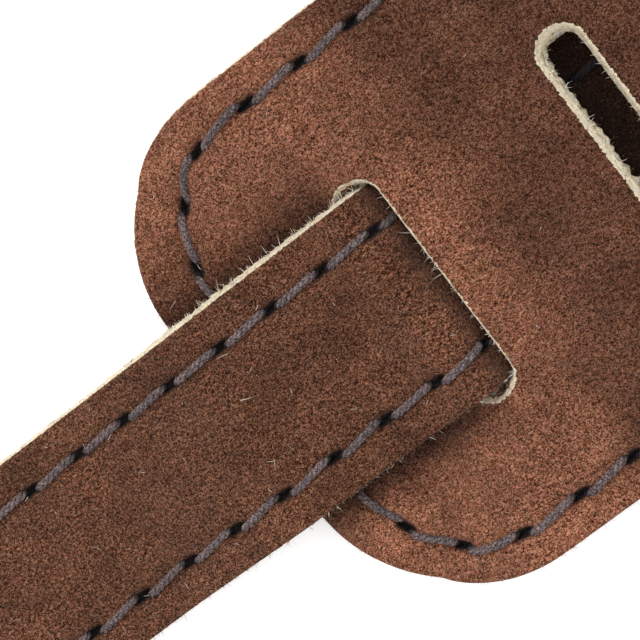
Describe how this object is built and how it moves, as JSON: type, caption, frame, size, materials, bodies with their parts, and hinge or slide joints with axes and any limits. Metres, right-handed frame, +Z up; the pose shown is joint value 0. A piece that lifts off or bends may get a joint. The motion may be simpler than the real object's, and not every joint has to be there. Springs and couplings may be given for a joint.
{
  "type": "guitar strap",
  "caption": "Adjustable two-piece suede guitar strap laid flat: a wide slotted main strap and a narrow tail woven through its slots, with a strap button hole at each end.",
  "frame": {"origin": "under the strap, at the middle of its laid-out length and width, on the surface it lies on", "axes": "+X along the strap from the tail's free end to the main strap's front end, +Y across it, +Z up out of the suede faces"},
  "size_m": [1.18, 0.0636, 0.0073],
  "materials": {
    "main_suede": "napped suede",
    "tail_suede": "napped suede",
    "backing_suede": "napped suede, cream where it is cut",
    "thread": "twisted thread"
  },
  "bodies": {
    "main_rear": {"main_face_rear": "main_suede", "main_backing_rear": "backing_suede", "main_needle_thread_rear": "thread", "main_bobbin_thread_rear": "thread", "tail_face_weave": "tail_suede", "tail_backing_weave": "backing_suede", "tail_needle_thread_weave": "thread", "tail_bobbin_thread_weave": "thread"},
    "main_front": {"main_face_front": "main_suede", "main_backing_front": "backing_suede", "main_needle_thread_front": "thread", "main_bobbin_thread_front": "thread"},
    "main_tab": {"main_face_tab": "main_suede", "main_backing_tab": "backing_suede", "main_needle_thread_tab": "thread", "main_bobbin_thread_tab": "thread"},
    "tail_run": {"tail_face_run": "tail_suede", "tail_backing_run": "backing_suede", "tail_needle_thread_run": "thread", "tail_bobbin_thread_run": "thread"},
    "tail_end": {"tail_face_end": "tail_suede", "tail_backing_end": "backing_suede", "tail_needle_thread_end": "thread", "tail_bobbin_thread_end": "thread"}
  },
  "joints": [
    {"name": "tail_slide", "type": "slide", "parent": "main_rear", "child": "tail_run", "axis": [-1, 0, 0], "range_m": [0, 0.025]},
    {"name": "tail_end_bend", "type": "hinge", "parent": "tail_run", "child": "tail_end", "pos_m": [-0.52, 0, 0.00285], "axis": [0, 1, 0], "range_deg": [0, 90]},
    {"name": "shoulder_fold", "type": "hinge", "parent": "main_rear", "child": "main_front", "pos_m": [0.22, 0, 0.00325], "axis": [0, -1, 0], "range_deg": [0, 170]},
    {"name": "front_tab_bend", "type": "hinge", "parent": "main_front", "child": "main_tab", "pos_m": [0.545, 0, 0.00325], "axis": [0, -1, 0], "range_deg": [0, 90]}
  ]
}
